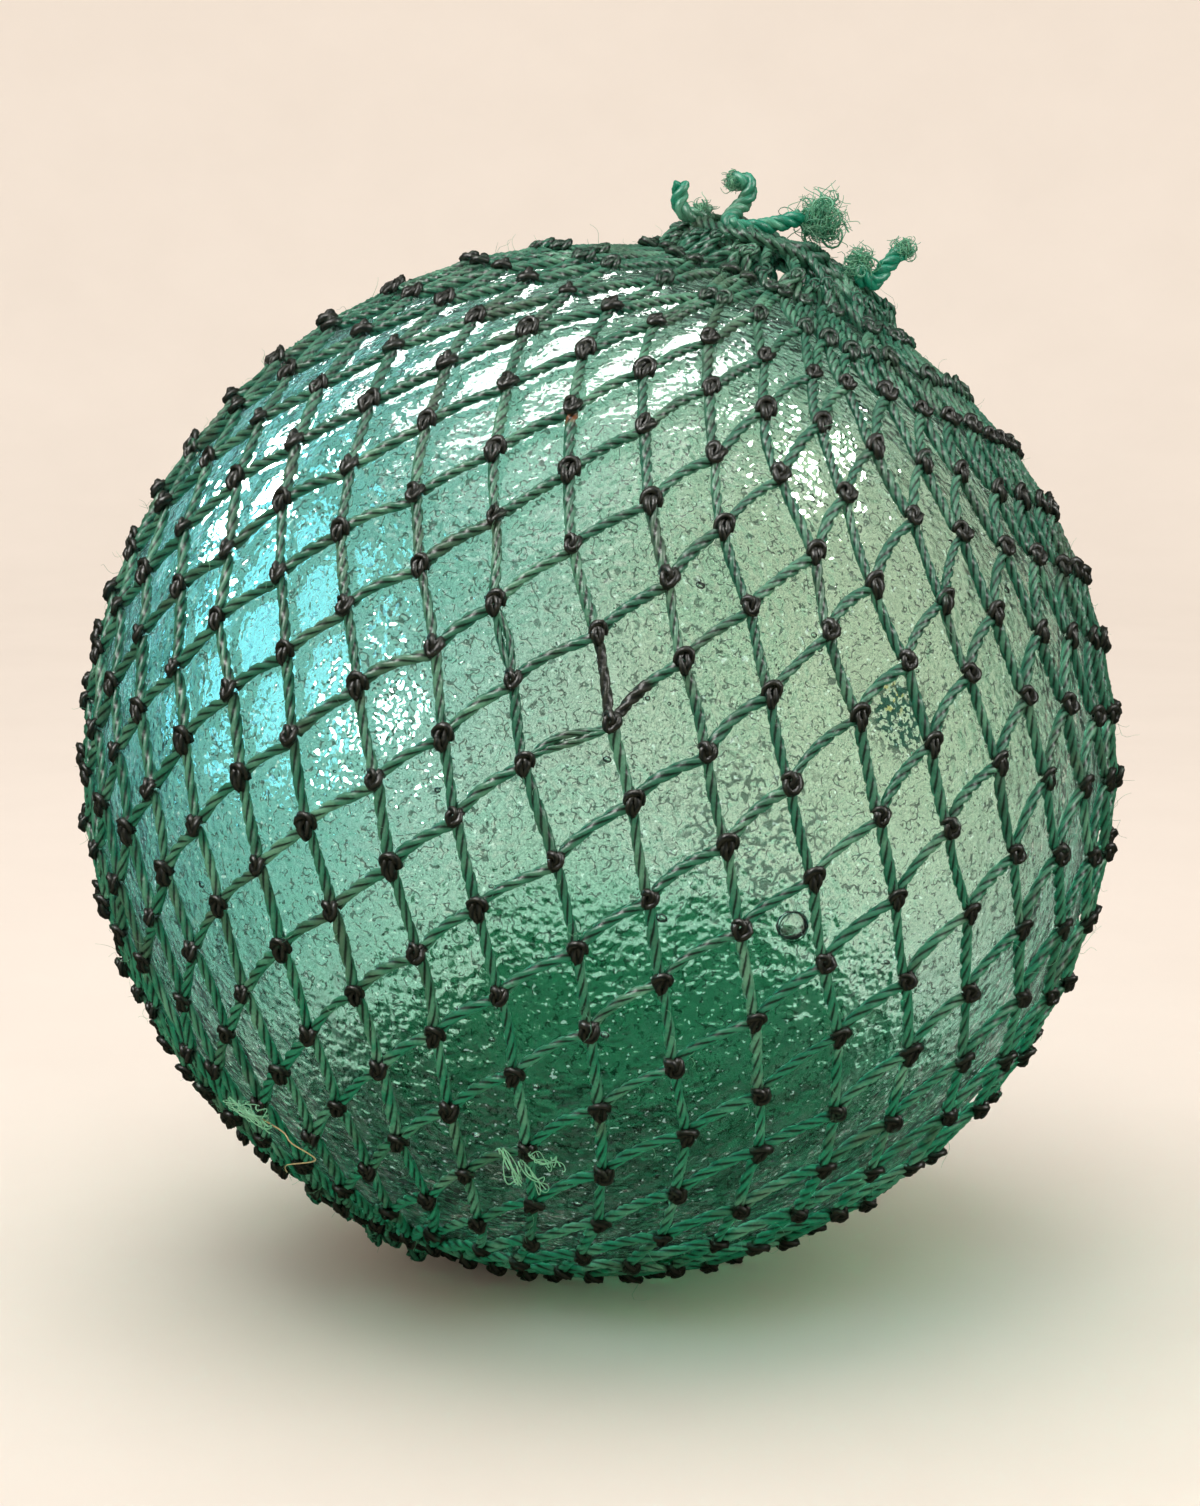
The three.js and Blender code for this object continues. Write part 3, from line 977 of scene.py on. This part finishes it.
def surface_flecks(tree, place):
    """Dark marks of the glass skin (curled ticks, open rings and pin dots), and painted glints: pale ticks
    beside the dark ones and pale pin dots.
    """
    shifted = vector_maths(tree, "ADD", place, GLINT_SHIFT)
    patches = ramp(tree, noise_at(tree, place, 380, 1), 0.5, 0.56)
    broken = ramp(tree, noise_at(tree, place, 520, 1), 0.48, 0.54)
    dots = ramp(tree, noise_at(tree, place, 950, 1), 0.66, 0.7)
    dark = largest(tree, hairline(tree, place, 300, 0.04, patches), dots)
    rings = times(tree, ring_marks(tree, place, 190, 0.34, 0.06), broken)
    dark = largest(tree, dark, times(tree, rings, 0.85))
    # painted glints: pale ticks beside the dark ones, and pale pin dots that also glow
    light = hairline(tree, shifted, 300, 0.045, patches)
    glowing_glints = ramp(tree, noise_at(tree, shifted, 620, 1), 0.68, 0.73)
    return dark, largest(tree, light, glowing_glints), glowing_glints


def seed_material():
    """The clean fire-polished skin of an air seed, a little cloudy here and there."""
    material, tree, shader, place = new_material("air_seeds")
    cloud = mix(tree, noise_at(tree, place, 500, 2), (0.9, 1.0, 0.97), (1.0, 1.0, 1.0))
    feed(shader, {
        "Base Color": cloud, "Transmission Weight": 1, "IOR": GLASS_IOR, "Roughness": OUTER_ROUGHNESS,
    })
    return material


# ---- the glass ball
def add_skin(parts, subdivisions, radius, relief, inward):
    """A sphere whose radius wavers with noise; the inner skin's bottom cap is thicker."""
    direction, triangles = icosphere(subdivisions)
    height = np.array([
        noise.fractal(Vector(d) * 7, 1.0, 2.0, 3) + 0.35 * noise.noise(Vector(d) * 40) for d in direction
    ])
    reach = radius + relief * height
    if inward:
        cap = smoothstep(0.72, 0.95, direction @ DARK_AXIS)
        swirl = np.array([noise.noise(Vector(d) * 9 + Vector((3, 1, 7))) for d in direction])
        reach = reach - cap * (BOTTOM_GROWTH[0] + BOTTOM_GROWTH[1] * swirl) * MM
        triangles = triangles[:, ::-1]
    parts.add(unit(direction) * reach[:, None] + CENTRE, [triangles])


def make_ball():
    """The hollow ball: its outer and inner skins in one piece."""
    shell = MeshParts()
    add_skin(shell, OUTER_FACETS, GLASS_RADIUS - SKIN_INSET, OUTER_RELIEF, False)
    add_skin(shell, INNER_FACETS, GLASS_RADIUS - WALL, INNER_RELIEF, True)
    outer_glass = glass_material("sea_green_glass", OUTER_ROUGHNESS, True)
    ball = shell.make("float_glass", outer_glass, floor=False)
    ball.data.materials.append(glass_material("sea_green_glass_inside", INNER_ROUGHNESS, False))
    index = np.repeat([0, 1], [len(skin) for skin in shell.faces]).astype(np.int32)
    ball.data.polygons.foreach_set("material_index", index)
    return ball


def make_seeds(material):
    """Air seeds sealed in the wall of the glass, and one round bubble at the front."""
    small, triangles = icosphere(SEED_FACETS)
    parts = MeshParts()
    directions = unit(rng.normal(0, 1, (SEEDS, 3)))
    radii = rng.gamma(2.0, 0.18, SEEDS) * MM + 0.25 * MM
    directions[0] = unit(np.array(BUBBLE_DIRECTION))
    radii[0] = BUBBLE_RADIUS
    for out, radius in zip(directions, radii):
        right = unit(np.cross(out, (0.3, 0.2, 1.0)))
        axes = np.array([right * rng.uniform(1, 1.5), np.cross(out, right), out])
        reach = radius * np.ones(3)
        reach[2] = min(radius, SEED_FLATNESS)
        parts.add((small * reach) @ axes + CENTRE + out * (GLASS_RADIUS - 0.5 * WALL), [triangles[:, ::-1]])
    return parts.make("glass_seeds", material, floor=False)


# ---- stage, lights and camera
ELEVATION = math.radians(9.5)
CAMERA_DISTANCE = 1.017
AIM_LIFT = 2.1 * MM
LENS = 54.04  # for a frame 24 mm tall
FRAME_HEIGHT = 24

FLOOR_RADIUS = 1.6
SWEEP_RADIUS = 0.9
SWEEP_STEPS = 12
WALL_TOP = 2.2
FLOOR_SIDES = 96
PAPER = ((0.765, 0.71, 0.65), (0.825, 0.77, 0.71))
WARM_WHITE = (1, 0.98, 0.95)
WORLD_COLOUR = (1.0, 0.97, 0.93, 1)
WORLD_STRENGTH = 0.8
# Lamps that show only in gloss: name, direction, distance, size, power, colour
GLASS_GLINTS = (
    ("top_window", (-0.15, 0.43, 0.89), 1.3, (1.2, 1.2), 64, (1, 1, 0.98)),
    ("left_strip", (-0.754, 0.40, 0.52), 1.3, (0.2, 0.42), 170, (0.95, 1, 1)),
    ("left_sky", (-0.85, -0.1, 0.35), 1.3, (1.0, 1.0), 36, (0.2, 0.74, 0.9)),
    ("left_window", (-0.738, -0.627, 0.25), 1.5, (0.24, 0.24), 52, (0.9, 0.97, 1)),
    ("right_spot", (0.591, 0.014, 0.806), 1.4, (0.18, 0.16), 58, (1, 0.98, 0.94)),
)
NET_GLINTS = (
    ("net_window", (-0.5, -0.45, 0.75), 1.3, (0.35, 0.35), 36, WARM_WHITE),
    ("net_strip", (0.75, -0.3, 0.55), 1.3, (0.2, 0.5), 20, WARM_WHITE),
)


def make_stage():
    """A pale round floor whose rim sweeps up into a wall, the same from every side."""
    bend = np.arange(1, SWEEP_STEPS + 1) / SWEEP_STEPS * math.pi / 2
    out = FLOOR_RADIUS + SWEEP_RADIUS * np.sin(bend)
    rise = SWEEP_RADIUS - SWEEP_RADIUS * np.cos(bend)
    radius = np.concatenate([(0, 0.9, FLOOR_RADIUS), out, out[-1:]])[:, None]
    height = np.concatenate([(0, 0, 0), rise, [WALL_TOP]])[:, None]
    angle = TAU * np.arange(FLOOR_SIDES)[None] / FLOOR_SIDES
    points = np.stack([radius * np.cos(angle), radius * np.sin(angle), height + 0 * angle], -1)
    parts = MeshParts()
    parts.add(points, [tube_faces(1, len(radius), FLOOR_SIDES)[0][..., ::-1]])
    floor = parts.make("studio_floor", paper_material(), floor=False)
    floor.visible_glossy = False
    return floor


def paper_material():
    """Matt pale paper, a little lit from within towards the wall."""
    material, tree, shader, place = new_material("studio_paper")
    mottled = mix(tree, noise_at(tree, place, 9, 4), *PAPER)
    distance = node(tree, "ShaderNodeVectorMath", {0: place}, operation="LENGTH").outputs["Value"]
    glow = times(tree, ramp(tree, distance, 0.6, 2.4), 0.15)
    feed(shader, {
        "Base Color": mottled, "Emission Color": mottled, "Emission Strength": glow,
        "Roughness": 1, "Specular IOR Level": 0,
    })
    return material


def area_light(name, direction, distance, size, power, colour):
    """A soft box that faces the ball from a direction."""
    data = bpy.data.lights.new(name, "AREA")
    data.shape = "RECTANGLE"
    data.size, data.size_y = size
    data.energy = power
    data.color = colour
    lamp = new_object(name, data)
    away = Vector(direction).normalized()
    lamp.location = Vector(CENTRE) + away * distance
    lamp.rotation_euler = away.to_track_quat("Z", "Y").to_euler()
    return lamp


def light_group(name, pieces):
    """A collection outside the scene that names the only pieces a lamp lights."""
    group = bpy.data.collections.new(name)
    for piece in pieces:
        group.objects.link(piece)
    return group


def make_glints(lamps, group):
    """Lamps that show only in the gloss of a group's pieces."""
    for settings in lamps:
        lamp = area_light(*settings)
        lamp.visible_diffuse = False
        lamp.visible_transmission = False
        lamp.light_linking.receiver_collection = group


def make_lights(floor, ball, net_and_ropes):
    """A soft key and fill on a pale world, and glints for the glass and the net."""
    world = bpy.data.worlds.new("studio")
    bpy.context.scene.world = world
    world.use_nodes = True
    backdrop = world.node_tree.nodes["Background"]
    backdrop.inputs[0].default_value = WORLD_COLOUR
    backdrop.inputs[1].default_value = WORLD_STRENGTH
    world.cycles_visibility.glossy = False
    area_light("key", (-0.15, -0.1, 1.0), 1.7, (1.5, 1.5), 18, (1, 0.97, 0.95))
    fill = area_light("floor_fill", (0, 0, 1), 1.6, (2, 2), 4, (1, 0.78, 0.7))
    fill.light_linking.receiver_collection = light_group("floor_in_fill", [floor])
    fill.data.use_shadow = False
    make_glints(GLASS_GLINTS, light_group("glass_with_glints", [ball]))
    make_glints(NET_GLINTS, light_group("net_with_glints", net_and_ropes))


def make_camera():
    """The camera in front, a little above the ball."""
    data = bpy.data.cameras.new("camera")
    data.sensor_fit = "VERTICAL"
    data.sensor_height = FRAME_HEIGHT
    data.lens = LENS
    data.clip_start = 0.01
    camera = new_object("camera", data)
    back = Vector((0, -math.cos(ELEVATION), math.sin(ELEVATION)))
    rise = Vector((0, math.sin(ELEVATION), math.cos(ELEVATION)))
    camera.location = Vector(CENTRE) + back * CAMERA_DISTANCE + rise * AIM_LIFT
    camera.rotation_euler = back.to_track_quat("Z", "Y").to_euler()
    bpy.context.scene.camera = camera


# ---- assembly
def dress(piece, replaced):
    """Hands a finished piece to the frame, in place of one node."""
    dressed.append(piece)
    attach(piece, "root")
    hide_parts(replaced)


bpy.context.scene.view_settings.view_transform = "Standard"
make_camera()
floor = make_stage()

knots = Knots()
rows = len(knots.place)
net_material = twine_material("net_twine", NET_LOW, NET_HIGH, NET_WORN)
rope_material = twine_material("tie_rope", ROPE_GREEN, ROPE_GREEN, ROPE_WORN)
bar_lines = []
dressed = []
bar_pieces = (("net_bars_upper", 0, 9), ("net_bars_middle", 9, 17), ("net_bars_lower", 17, rows - 1))
knot_pieces = (("net_knots_upper", 0, rows // 2), ("net_knots_lower", rows // 2, rows))
gathers = (
    ("net_crown_gather", 0, CROWN_HOLE, CROWN_COILS), ("net_foot_gather", -1, FOOT_HOLE, FOOT_COILS)
)
ball = make_ball()
dress(ball, "glass_ball")
dress(make_seeds(seed_material()), "glass_ball")
for name, first, last in bar_pieces:
    dress(make_bars(knots, name, first, last, net_material, bar_lines), "net")
for name, first, last in knot_pieces:
    dress(make_knots(knots, name, first, last, net_material), "net")
for name, row, height, coils in gathers:
    dress(make_gather(knots, name, row, height, coils, net_material), "net")
dress(make_loose_fibres(knots, bar_lines, net_material), "net")
for name in TIES:
    dress(make_tie(name, rope_material), name)

net_and_ropes = dressed[2:]
make_lights(floor, ball, net_and_ropes)
